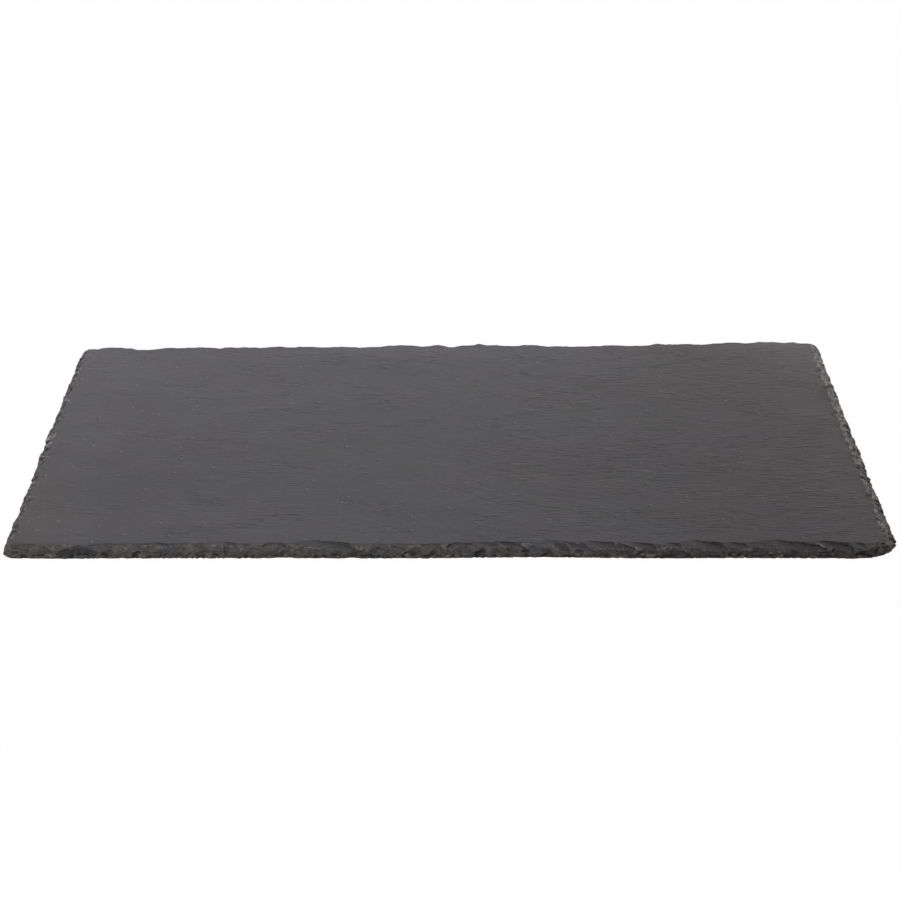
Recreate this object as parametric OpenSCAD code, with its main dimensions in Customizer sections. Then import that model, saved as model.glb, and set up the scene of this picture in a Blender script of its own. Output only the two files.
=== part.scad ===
// Slate serving board: one riven slate slab with dressed edges, on four rubber feet.
// The origin is on the table, under the middle of the slab. X runs along the length
// and the front edge lies at negative Y. All lengths are in millimetres.

/* [Slate slab] */
// Length of the slab, left to right
slab_len = 300; // [200:5:400]
// Depth of the slab at its deeper, right-hand end
slab_depth = 200; // [150:5:300]
// Thickness of the slate
slab_t = 4.5; // [4:0.5:8]
// How much shallower the left-hand end is
out_of_square = 6.5; // [0:0.5:8]

/* [Dressed edges] */
// Run of the chipped bevel along the front
bevel_front = 2.5; // [1:0.5:5]
// Run of the chipped bevel along the right-hand end
bevel_right = 4; // [1:0.5:6]
// Run of the chipped bevel along the back
bevel_back = 2.5; // [1:0.5:5]
// Run of the chipped bevel along the left-hand end
bevel_left = 3; // [1:0.5:5]
// Depth of the slow waves and bumps along an edge
edge_wave = 2; // [0:0.1:3]
// Spacing of the dressing strokes along an edge
stroke_pitch = 6; // [4:0.5:10]
// Depth of the deepest scallop that a stroke leaves in the upper arris
stroke_depth = 0.9; // [0:0.1:1.5]
// Spacing of the long flakes that split off the upper layers
flake_pitch = 21; // [14:1:40]
// Depth of the deepest of these flakes
flake_depth = 1.6; // [0:0.1:2.5]
// Distance between the points that draw an edge
edge_step = 2.5; // [2:0.5:5]

/* [Corners] */
// Size of the rounding at an ordinary corner
corner_round = 8; // [2:1:12]
// Length along the front of the blow that took the lower front right corner
knocked_x = 22; // [12:1:30]
// Length along the right-hand end of the same blow
knocked_y = 18; // [12:1:30]

/* [Rubber feet] */
// Diameter of a foot
foot_d = 12; // [8:1:20]
// Thickness of a foot
foot_h = 2; // [1.5:0.5:5]
// Size of the pressed rim round the underside of a foot
foot_rim = 0.4; // [0.1:0.1:0.6]
// Distance from the edges of the slab to the middle of a foot
foot_inset = 22; // [18:1:40]

/* [Adhesive discs] */
// Thickness of the adhesive disc between a foot and the slate
disc_h = 0.3; // [0.2:0.1:1]
// How far the adhesive disc stays inside the rim of its foot
disc_margin = 0.5; // [0.2:0.1:1.5]

/* [Hidden] */

round_fn = 64;
slab_base_z = foot_h + disc_h;

// The four edges go anticlockwise from above: front, right, back, left.
EDGES = [0, 1, 2, 3];
bevel_runs = [bevel_front, bevel_right, bevel_back, bevel_left];

// Section of a dressed edge, from the underside up: the share of the thickness,
// and the share of the bevel's run by which the stone stands back there.
// The first and the last height lie past the two faces, where a block trims them flat.
section_shares = [[-0.25, 0.25], [0.14, 0], [0.38, 0.14], [0.6, 0.38], [0.8, 0.68], [1.25, 1.4]];
levels = len(section_shares);

// How much of a scallop and of a flake shows at each of these heights
scallop_shares = [0.3, 0.3, 0.45, 0.65, 0.85, 1.18];
flake_shares = [0, 0, 0.1, 0.35, 0.75, 1.3];

// Slow waves of each edge: the place and the width as shares of the edge,
// and the depth inwards as a share of edge_wave. A negative depth is a bump.
wave_shares = [
    [[0.28, 0.09, 0.25], [0.6, 0.1, 0.7], [0.83, 0.08, 0.25]],
    [[0.3, 0.12, 0.1], [0.62, 0.1, 0.1], [0.86, 0.05, 0.15]],
    [
        [0.06, 0.02, -0.8], [0.12, 0.013, -0.7], [0.2, 0.06, -0.25], [0.33, 0.06, 0.75],
        [0.46, 0.006, -0.9], [0.497, 0.006, 0.6], [0.517, 0.006, -0.9], [0.567, 0.02, -0.6],
        [0.615, 0.02, 0.5], [0.735, 0.01, -0.6], [0.84, 0.013, -0.8], [0.91, 0.02, 0.5],
        [0.96, 0.015, -0.8]
    ],
    [[0.15, 0.08, 0.1], [0.48, 0.02, -0.2], [0.75, 0.12, 0.15]]
];
// The edge's mean line lies this share of edge_wave inside the nominal line.
wave_base_shares = [0.1, 0.25, 0.95, 0.25];

// Corners at the start of each edge: front left, front right, back right, back left.
// The first size is along the edge that ends there, the second along the next edge.
// The blow took only the lower layers of the front right corner.
round_cut = [corner_round, corner_round];
upper_cuts = [round_cut, round_cut, round_cut, round_cut];
lower_cuts = [round_cut, [knocked_x, knocked_y], round_cut, round_cut];

// A share from 0 to 1 that looks random but depends only on its key
function scatter(key) = let (value = 43758.5453 * sin(78.233 * key)) value - floor(value);

// The bell that a wave or a bump follows, 1 in its middle
function bell(offset) = exp(-offset * offset);

// The hump that a hollow follows, 1 in its middle and 0 from its ends on
function hump(offset) = max(0, 1 - offset * offset);

function sum(values) = values * [for (value = values) 1];
function blend(low, high, share) = low + (high - low) * max(0, min(1, share));

// Depth of the slow waves at a share of the edge
function wave(edge, share) =
    let (waves = [for (w = wave_shares[edge]) w[2] * bell((share - w[0]) / w[1])])
    edge_wave * (wave_base_shares[edge] + sum(waves));

// Depth of the scallops: a hollow for each stroke, with a cusp between strokes
function scallop(edge, run) =
    let (
        stroke = floor(run / stroke_pitch),
        across = 2 * (run / stroke_pitch - stroke) - 1
    )
    stroke_depth * (0.35 + 0.65 * scatter(stroke + 101 * edge)) * hump(across);

// Depth of the flakes: one long lens in each pitch, thin at both tips
function flake(edge, run) =
    let (
        cell = floor(run / flake_pitch),
        key = cell + 211 * edge,
        middle = 0.35 + 0.3 * scatter(key + 0.5),
        reach = 0.2 + 0.15 * scatter(key + 0.25)
    )
    flake_depth * scatter(key) * hump((run / flake_pitch - cell - middle) / reach);

// How far a corner is pulled in, at a distance from it along an edge whose cut is given.
// With both edges it draws a parabola that meets each of them smoothly.
function pull(run, cut) = run < cut ? pow(1 - run / cut, 2) / 4 : 0;

// Waves and chips fade out towards the corners.
function fade(run, length) = min(1, run / corner_round, (length - run) / corner_round);

// The corner where an edge starts, for the insets of the four edges
function corner(edge, insets) =
    let (
        left = -slab_len / 2 + insets[3],
        right = slab_len / 2 - insets[1],
        front = -slab_depth / 2 + insets[0],
        back = slab_depth / 2 - insets[2]
    )
    [[left, front], [right, front], [right, back], [left, back - out_of_square]][edge];

function towards(from, to) = (to - from) / norm(to - from);

// One point of an edge at one height, its share counted from the edge's start
function edge_point(edge, level, share) =
    let (
        insets = bevel_runs * section_shares[level][1],
        next = (edge + 1) % len(EDGES),
        start = corner(edge, insets),
        end = corner(next, insets),
        along = towards(start, end),
        inward = [-along[1], along[0]],
        back_along = towards(start, corner((edge + 3) % len(EDGES), insets)),
        on_along = towards(end, corner((edge + 2) % len(EDGES), insets)),
        length = norm(end - start),
        run = share * length,
        lift = section_shares[level][0],
        start_cut = blend(lower_cuts[edge], upper_cuts[edge], lift),
        end_cut = blend(lower_cuts[next], upper_cuts[next], lift),
        depth = wave(edge, share)
            + scallop_shares[level] * scallop(edge, run)
            + flake_shares[level] * flake(edge, run)
    )
    start + run * along + depth * fade(run, length) * inward
        + pull(run, start_cut[1]) * (start_cut[1] * along + start_cut[0] * back_along)
        + pull(length - run, end_cut[0]) * (end_cut[1] * on_along - end_cut[0] * along);

// How many points draw each edge
edge_counts = [
    for (edge = EDGES)
    round((edge % 2 == 0 ? slab_len : slab_depth) / edge_step)
];

// The outline of the slab at each of the section's heights
outlines = [
    for (level = [0:levels - 1])
    [
        for (edge = EDGES)
        for (i = [0:edge_counts[edge] - 1])
        edge_point(edge, level, i / edge_counts[edge])
    ]
];
points_round = len(outlines[0]);

// The rough outline is centred on the origin.
all_x = [for (ring = outlines) for (p = ring) p[0]];
all_y = [for (ring = outlines) for (p = ring) p[1]];
middle_x = (min(all_x) + max(all_x)) / 2;
middle_y = (min(all_y) + max(all_y)) / 2;

slab_points = [
    for (level = [0:levels - 1])
    for (p = outlines[level])
    [p[0] - middle_x, p[1] - middle_y, slab_base_z + slab_t * section_shares[level][0]]
];

wall_faces = [
    for (level = [0:levels - 2])
    for (i = [0:points_round - 1])
    let (
        low = level * points_round,
        high = low + points_round,
        j = (i + 1) % points_round
    )
    each [[low + i, high + i, high + j], [low + i, high + j, low + j]]
];
lower_face = [for (i = [0:points_round - 1]) i];
upper_face = [for (i = [points_round - 1:-1:0]) (levels - 1) * points_round + i];

module slate_slab() {
    color([0.36, 0.36, 0.37])
        intersection() {
            polyhedron(points = slab_points, faces = concat([lower_face, upper_face], wall_faces));
            translate([-slab_len, -slab_depth, slab_base_z])
                cube([2 * slab_len, 2 * slab_depth, slab_t]);
        }
}

// Moves a foot or a disc to its corner: side is -1 or 1 along X, end -1 or 1 along Y.
// The two back places follow the slant of the back edge.
module at_corner(side, end) {
    x = side * (slab_len / 2 - foot_inset);
    slant = end > 0 ? out_of_square * (1 / 2 - x / slab_len) : 0;
    translate([x, end * (slab_depth / 2 - foot_inset) - slant, 0])
        children();
}

// A round foot with a pressed rim round its underside
module foot() {
    radius = foot_d / 2;
    color([0.1, 0.1, 0.1])
        rotate_extrude($fn = round_fn)
            polygon([[0, 0], [radius - foot_rim, 0], [radius, foot_rim], [radius, foot_h], [0, foot_h]]);
}

// The double-sided adhesive disc that holds a foot under the slab
module disc() {
    color([0.85, 0.84, 0.78])
        translate([0, 0, foot_h])
            cylinder(r = foot_d / 2 - disc_margin, h = disc_h, $fn = round_fn);
}

module rubber_foot_front_left() { at_corner(-1, -1) foot(); }
module rubber_foot_front_right() { at_corner(1, -1) foot(); }
module rubber_foot_back_right() { at_corner(1, 1) foot(); }
module rubber_foot_back_left() { at_corner(-1, 1) foot(); }

module adhesive_disc_front_left() { at_corner(-1, -1) disc(); }
module adhesive_disc_front_right() { at_corner(1, -1) disc(); }
module adhesive_disc_back_right() { at_corner(1, 1) disc(); }
module adhesive_disc_back_left() { at_corner(-1, 1) disc(); }

slate_slab();
rubber_foot_front_left();
rubber_foot_front_right();
rubber_foot_back_right();
rubber_foot_back_left();
adhesive_disc_front_left();
adhesive_disc_front_right();
adhesive_disc_back_right();
adhesive_disc_back_left();
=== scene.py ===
"""A slate serving board on rubber feet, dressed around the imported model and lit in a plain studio.

The slab is one closed surface worked out with numpy: an outline with the slow waves of the
dressed edges, a wall built of thin sheets of stone that the dressing has chipped and split
back one by one, and two riven faces. Lengths are in metres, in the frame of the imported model.
"""
import logging
import math
from collections.abc import Iterable
from dataclasses import dataclass, field
from enum import Enum, IntEnum
from functools import cached_property

import bpy
import numpy as np
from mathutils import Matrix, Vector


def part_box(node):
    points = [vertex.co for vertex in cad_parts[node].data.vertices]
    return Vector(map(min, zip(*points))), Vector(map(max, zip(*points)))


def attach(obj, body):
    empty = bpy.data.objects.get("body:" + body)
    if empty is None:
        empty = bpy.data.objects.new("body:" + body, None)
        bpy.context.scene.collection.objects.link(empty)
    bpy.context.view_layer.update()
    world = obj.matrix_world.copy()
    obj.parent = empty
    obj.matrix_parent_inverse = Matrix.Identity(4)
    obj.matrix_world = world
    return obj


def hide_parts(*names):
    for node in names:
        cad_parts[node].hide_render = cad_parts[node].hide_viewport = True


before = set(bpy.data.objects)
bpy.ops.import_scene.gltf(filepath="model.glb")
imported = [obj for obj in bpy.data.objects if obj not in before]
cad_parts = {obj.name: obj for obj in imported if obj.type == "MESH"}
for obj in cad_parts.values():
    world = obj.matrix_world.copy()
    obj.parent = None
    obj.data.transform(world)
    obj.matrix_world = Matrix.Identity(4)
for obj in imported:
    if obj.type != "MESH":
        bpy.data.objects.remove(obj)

log = logging.getLogger("slate_board")

MM = 0.001
Array = np.ndarray
Triple = tuple[float, float, float]
PLACES = ("front_left", "front_right", "back_right", "back_left")


class Side(IntEnum):
    """The four edges of the slab, anticlockwise from above. Each starts at the corner of its number."""

    FRONT = 0
    RIGHT = 1
    BACK = 2
    LEFT = 3


class Slot(Enum):
    """The material slots of the record."""

    SLATE = "slate"
    RUBBER = "foot_rubber"
    ADHESIVE = "adhesive"


# Shared tools


def smooth(low: float, high: float, value: Array) -> Array:
    """Rises from 0 at low to 1 at high with level ends.

    Args:
        low: The value below which the result is 0.
        high: The value above which the result is 1.
        value: Where to work it out.

    Returns:
        The cubic 3 t^2 - 2 t^3 of the clamped share t.
    """
    share = np.clip((value - low) / (high - low), 0, 1)
    return share * share * (3 - 2 * share)


def fall(low: float, high: float, value: Array) -> Array:
    """Falls from 1 at low to 0 at high with level ends."""
    return 1 - smooth(low, high, value)


@dataclass(frozen=True)
class StoneNoise:
    """Smooth random values from -1 to 1 in space, the same on every run.

    Attributes:
        seed: Picks one field of values out of many.
        grain: Length of the grain along each axis, in millimetres. A coordinate that has none
            is counted in grains already.
        layers: How many layers the layered field has.
    """

    seed: int
    grain: tuple[float, ...]
    layers: int = 3

    def _counted(self, *place: Array) -> list[Array]:
        """Coordinates in metres, counted in grains."""
        known = len(self.grain)
        return [part / (length * MM) for part, length in zip(place, self.grain)] + list(place[known:])

    def _lattice(self, i: Array, j: Array, k: Array) -> Array:
        """A fixed value from -1 to 1 for each lattice point, by mixing the bits of its three numbers.

        Args:
            i: First numbers, whole.
            j: Second numbers.
            k: Third numbers.

        Returns:
            One value for each point.
        """
        mixed = i.astype(np.uint32) * np.uint32(0x8DA6B343)
        mixed ^= j.astype(np.uint32) * np.uint32(0xD8163841)
        mixed ^= k.astype(np.uint32) * np.uint32(0xCB1AB31F)
        mixed ^= np.uint32(self.seed * 0x9E3779B1 & 0xFFFFFFFF)
        mixed = (mixed ^ (mixed >> np.uint32(16))) * np.uint32(0x7FEB352D)
        mixed = (mixed ^ (mixed >> np.uint32(15))) * np.uint32(0x846CA68B)
        mixed ^= mixed >> np.uint32(16)
        return mixed / 2.0**31 - 1

    def _at(self, x: Array, y: Array, z: Array) -> Array:
        """The field at points counted in grains.

        The eight lattice values round a point are blended by the cubic of its offset in the cell.

        Args:
            x: First coordinates.
            y: Second coordinates.
            z: Third coordinates.

        Returns:
            One value for each point.
        """
        x, y, z = np.broadcast_arrays(x, y, z)
        cells = [np.floor(c).astype(np.int64) for c in (x, y, z)]
        shares = [c - cell for c, cell in zip((x, y, z), cells)]
        shares = [s * s * (3 - 2 * s) for s in shares]
        total = np.zeros(x.shape)
        for steps in np.ndindex(2, 2, 2):
            weight = math.prod(share if step else 1 - share for step, share in zip(steps, shares))
            total += weight * self._lattice(*(cell + step for cell, step in zip(cells, steps)))
        return total

    def layered(self, x: Array, y: Array, z: Array | float = 0.0) -> Array:
        """The field with finer copies of itself added, each of half the grain and half the strength.

        Args:
            x: First coordinates.
            y: Second coordinates.
            z: Third coordinates.

        Returns:
            The sum of the layers, one value for each point.
        """
        x, y, z = self._counted(x, y, z)
        total = np.zeros(np.broadcast(x, y, z).shape)
        for layer in range(self.layers):
            scale, lift = 2.0**layer, 17.3 * layer
            total += self._at(x * scale + lift, y * scale, z * scale - lift) / scale
        return total

    def facets(self, x: Array, y: Array, z: Array) -> Array:
        """Flat slopes in random directions, one for each cell of a scattered net of points.

        A point takes the slope of the nearest scattered point: the sum of its offsets from it,
        each times a random number, and a random level.

        Args:
            x: First coordinates.
            y: Second coordinates.
            z: Third coordinates.

        Returns:
            One value for each point, mostly from -1 to 1.
        """
        x, y, z = self._counted(x, y, z)
        cells = [np.floor(c).astype(np.int64) for c in (x, y, z)]
        nearest, value = np.full(x.shape, np.inf), np.zeros(x.shape)
        for step in np.ndindex(3, 3, 3):
            i, j, k = (cell + s - 1 for cell, s in zip(cells, step))
            gaps = [
                p - cell - 0.5 - 0.45 * self._lattice(i + 101 * n, j, k)
                for n, (p, cell) in enumerate(zip((x, y, z), (i, j, k)))
            ]
            plane = sum(gap * self._lattice(i, j + 131 * (n + 1), k) for n, gap in enumerate(gaps))
            away = sum(gap * gap for gap in gaps)
            value = np.where(away < nearest, plane + 0.4 * self._lattice(i, j, k + 977), value)
            nearest = np.minimum(nearest, away)
        return value


def build_mesh(name: str, points: Array, faces: list[Array], crease: float) -> bpy.types.Object:
    """Makes one object of a closed surface, smooth except at creases.

    Args:
        name: The name of the piece.
        points: Its vertices, one row each, in metres.
        faces: Arrays of faces, each with one row of vertex numbers a face.
        crease: Faces that meet at more than this angle, in radians, keep a sharp edge.

    Returns:
        The object, at the origin, with its place in its mesh.
    """
    mesh = bpy.data.meshes.new(name)
    mesh.vertices.add(len(points))
    mesh.vertices.foreach_set("co", points.astype(np.float32).ravel())
    corners = np.concatenate([part.ravel() for part in faces])
    sizes = np.concatenate([np.full(len(part), part.shape[1]) for part in faces])
    mesh.loops.add(len(corners))
    mesh.loops.foreach_set("vertex_index", corners.astype(np.int32))
    mesh.polygons.add(len(sizes))
    starts = np.concatenate([[0], np.cumsum(sizes)[:-1]])
    mesh.polygons.foreach_set("loop_start", starts.astype(np.int32))
    mesh.update(calc_edges=True)
    mesh.validate()
    mesh.polygons.foreach_set("use_smooth", np.ones(len(mesh.polygons), bool))
    mesh.set_sharp_from_angle(angle=crease)
    piece = bpy.data.objects.new(name, mesh)
    bpy.context.scene.collection.objects.link(piece)
    return piece


def store_values(piece: bpy.types.Object, name: str, values: Array) -> None:
    """Keeps one number for each vertex, for the material to read."""
    layer = piece.data.attributes.new(name, "FLOAT", "POINT")
    layer.data.foreach_set("value", values.astype(np.float32).ravel())


class Dressed:
    """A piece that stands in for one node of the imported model.

    Attributes:
        node: The node.
        slot: The piece's material slot.
    """

    node: str
    slot: Slot

    def build(self) -> bpy.types.Object:
        """Makes the piece. Each kind of piece has its own way."""
        raise NotImplementedError

    def dress(self, material: bpy.types.Material) -> bpy.types.Object:
        """Builds the piece, gives it its material and puts it in the node's place.

        Args:
            material: The material.

        Returns:
            The piece.
        """
        piece = self.build()
        piece.data.materials.append(material)
        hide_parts(self.node)
        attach(piece, "root")
        return piece


def ring_faces(rings: int, count: int, first: int = 0) -> Array:
    """Quads between closed rings that follow each other, each ring of the same count of points.

    Args:
        rings: How many rings there are.
        count: Points in a ring.
        first: Number of the first ring's first vertex.

    Returns:
        One row of four vertex numbers a quad, turned outwards where the rings climb a wall
        anticlockwise from above.
    """
    ring, i = np.meshgrid(np.arange(rings - 1), np.arange(count), indexing="ij")
    j = (i + 1) % count
    low, high = first + ring * count, first + (ring + 1) * count
    return np.stack([low + i, low + j, high + j, high + i], -1).reshape(-1, 4)


# Materials


class Field:
    """A number, vector or colour that nodes work out, written into plain sums."""

    def __init__(self, graph: "Graph", socket: bpy.types.NodeSocket) -> None:
        """Takes up an output of the graph."""
        self.graph = graph
        self.socket = socket

    def __add__(self, other: "Term") -> "Field":
        """The sum of two numbers."""
        return self.graph.maths("ADD", self, other)

    def __sub__(self, other: "Term") -> "Field":
        """The difference of two numbers."""
        return self.graph.maths("SUBTRACT", self, other)

    def __rsub__(self, other: "Term") -> "Field":
        """The difference from a plain number."""
        return self.graph.maths("SUBTRACT", other, self)

    def __mul__(self, other: "Term") -> "Field":
        """The product of two numbers."""
        return self.graph.maths("MULTIPLY", self, other)

    def __abs__(self) -> "Field":
        """The number without its sign."""
        return self.graph.maths("ABSOLUTE", self)

    def above(self, limit: "Term") -> "Field":
        """A mask that is 1 where the number is more than the limit."""
        return self.graph.maths("GREATER_THAN", self, limit)

    def at_least(self, other: "Term") -> "Field":
        """The greater of two numbers."""
        return self.graph.maths("MAXIMUM", self, other)

    def between(self, low: float, high: float) -> "Field":
        """A mask that goes smoothly from 0 where the number is low to 1 where it is high."""
        inputs = {"Value": self, "From Min": low, "From Max": high, "To Min": 0.0, "To Max": 1.0}
        return self.graph.read("ShaderNodeMapRange", "Result", inputs, interpolation_type="SMOOTHSTEP")


Term = Field | float | tuple[float, ...]
Inputs = dict[str | int, Term]


class Graph:
    """The nodes of a material or of the world, added and joined in a few words."""

    def __init__(self, tree: bpy.types.NodeTree) -> None:
        """Takes up a tree of nodes."""
        self.tree = tree

    def add(self, kind: str, inputs: Inputs | None = None, **settings: object) -> bpy.types.Node:
        """Adds a node.

        Args:
            kind: The node's type.
            inputs: What each input gets, by its name or number.
            settings: The node's own settings.

        Returns:
            The node.
        """
        node = self.tree.nodes.new(kind)
        for key, value in settings.items():
            setattr(node, key, value)
        for key, value in (inputs or {}).items():
            self.put(node.inputs[key], value)
        return node

    def put(self, socket: bpy.types.NodeSocket, value: Term) -> None:
        """Joins a field to the socket, or sets it to a plain value.

        Args:
            socket: The input of a node.
            value: What it gets.
        """
        if isinstance(value, Field):
            self.tree.links.new(value.socket, socket)
        else:
            socket.default_value = value

    def read(self, kind: str, output: str | int, inputs: Inputs | None = None, **settings: object) -> Field:
        """Adds a node and takes one of its outputs, by its name or number."""
        return Field(self, self.add(kind, inputs, **settings).outputs[output])

    def maths(self, operation: str, *terms: Term) -> Field:
        """One sum of one or two numbers."""
        return self.read("ShaderNodeMath", 0, dict(enumerate(terms)), operation=operation)

    def seen(self) -> Field:
        """A mask that is 1 for what the camera sees, straight or by reflection or through glass.

        Returns:
            The mask.
        """
        rays = self.add("ShaderNodeLightPath").outputs
        straight, mirrored, through = (
            Field(self, rays[name]) for name in ("Is Camera Ray", "Is Glossy Ray", "Is Transmission Ray")
        )
        return straight.at_least(mirrored).at_least(through)

    def show(self, output: str, share: Field, lit: bpy.types.Node, white: bpy.types.Node) -> None:
        """Joins two shaders to the output node, the second by its share.

        Args:
            output: Name of the output node.
            share: Share of the second shader.
            lit: The first shader.
            white: The second.
        """
        shaders = (Field(self, node.outputs[0]) for node in (lit, white))
        mix = self.read("ShaderNodeMixShader", 0, dict(enumerate((share, *shaders))))
        self.put(self.tree.nodes[output].inputs["Surface"], mix)


class MaterialGraph(Graph):
    """The nodes of one material, with the place of the shaded point at hand."""

    def __init__(self, name: str) -> None:
        """Starts a material with a principled shader joined to its output.

        Args:
            name: Name of the material.
        """
        self.material = bpy.data.materials.new(name)
        self.material.use_nodes = True
        super().__init__(self.material.node_tree)
        self.shader = self.tree.nodes["Principled BSDF"]

    @cached_property
    def place(self) -> Field:
        """The place of the shaded point on the piece, in metres."""
        return self.read("ShaderNodeTexCoord", "Object")

    @cached_property
    def plan(self) -> tuple[Field, Field]:
        """How far to the right and how far back the shaded point lies, in metres."""
        parts = self.add("ShaderNodeSeparateXYZ", {"Vector": self.place}).outputs
        return Field(self, parts["X"]), Field(self, parts["Y"])

    def value(self, name: str) -> Field:
        """A number that the mesh holds for each vertex."""
        return self.read("ShaderNodeAttribute", "Fac", attribute_name=name)

    def vector(self, operation: str, a: Term, b: Term) -> Field:
        """One sum of two vectors."""
        return self.read("ShaderNodeVectorMath", 0, {0: a, 1: b}, operation=operation)

    def shifted(self, **shift: Term) -> Field:
        """The place of the shaded point moved along X, Y or Z, in metres."""
        return self.vector("ADD", self.place, self.read("ShaderNodeCombineXYZ", 0, shift))

    def turned(self, vector: Field, turn: float) -> Field:
        """Coordinates turned round Z by an angle in radians."""
        return self.read("ShaderNodeMapping", "Vector", {"Vector": vector, "Rotation": (0, 0, turn)})

    def noise(
        self, vector: Field, grain: Triple, detail: float = 2.0, rough: float = 0.5, bend: float = 0.0,
    ) -> Field:
        """Cloudy noise about 0.5.

        Args:
            vector: The coordinates in metres.
            grain: Length of the grain along each axis, in millimetres.
            detail: How many finer layers are added.
            rough: Strength of each finer layer, as a share of the one before.
            bend: How far the clouds are drawn out of shape.

        Returns:
            The noise.
        """
        scale = tuple(1 / (length * MM) for length in grain)
        counted = self.read("ShaderNodeMapping", "Vector", {"Vector": vector, "Scale": scale})
        inputs = {"Vector": counted, "Scale": 1.0, "Detail": detail, "Roughness": rough, "Distortion": bend}
        return self.read("ShaderNodeTexNoise", "Fac", inputs)

    def spots(self, vector: Field, scale: float, size: float, least: Term) -> Field:
        """A mask of sparse round spots, strongest in their middles.

        Args:
            vector: The coordinates in metres.
            scale: Cells in a metre, each with a spot or none.
            size: Radius of a spot, as a share of a cell.
            least: Share of the cells that have none.

        Returns:
            The mask.
        """
        inputs = {"Vector": vector, "Scale": scale, "Randomness": 1.0}
        cells = self.add("ShaderNodeTexVoronoi", inputs, voronoi_dimensions="2D").outputs
        chance = self.read("ShaderNodeSeparateColor", "Red", {"Color": Field(self, cells["Color"])})
        return (1.0 - Field(self, cells["Distance"]).between(0.0, size)) * chance.above(least)

    def cells(self, scale: float) -> Field:
        """Distance from the middle of the nearest cell, of which this many go into a metre."""
        return self.read("ShaderNodeTexVoronoi", "Distance", {"Vector": self.place, "Scale": scale})

    def mix(self, share: Term, a: Term, b: Term) -> Field:
        """A colour between two colours."""
        return self.read("ShaderNodeMix", 2, {0: share, 6: a, 7: b}, data_type="RGBA")

    def scaled(self, colour: Term, factor: Term) -> Field:
        """A colour made lighter or darker by a factor."""
        parts = colour if isinstance(colour, Field) else colour[:3]
        return self.read("ShaderNodeVectorMath", 0, {0: parts, "Scale": factor}, operation="SCALE")

    def sway(self, *terms: tuple[Field, float]) -> Field:
        """A factor about 1: one plus each noise's departure from its middle times its strength.

        Args:
            terms: Pairs of a noise about 0.5 and its strength.

        Returns:
            The factor.
        """
        parts = [(noise - 0.5) * strength for noise, strength in terms]
        return sum(parts[1:], parts[0] + 1.0)

    def raised(self, height: Field, distance: float, normal: Field | None = None) -> Field:
        """A surface normal that follows a height.

        Args:
            height: The height, of which one stands for the distance.
            distance: The distance in millimetres.
            normal: The normal to start from, or None for the surface's own.

        Returns:
            The new normal.
        """
        inputs = {"Height": height, "Distance": distance * MM, "Strength": 1.0}
        if normal is not None:
            inputs["Normal"] = normal
        return self.read("ShaderNodeBump", "Normal", inputs)

    def finish(
        self, colour: Term, roughness: Term, specular: float = 0.5, normal: Field | None = None,
    ) -> bpy.types.Material:
        """Gives the shader its looks.

        Args:
            colour: The base colour.
            roughness: The roughness.
            specular: The strength of its reflections, of which 0.5 is plain.
            normal: The surface normal, or None for the surface's own.

        Returns:
            The material.
        """
        looks = {"Base Color": colour, "Roughness": roughness, "Specular IOR Level": specular}
        if normal is not None:
            looks["Normal"] = normal
        for name, value in looks.items():
            self.put(self.shader.inputs[name], value)
        return self.material


def grey(level: float, tint: Triple = (1.0, 1.0, 1.0)) -> tuple[float, float, float, float]:
    """A colour of this level, tinted."""
    return (level * tint[0], level * tint[1], level * tint[2], 1.0)


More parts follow.
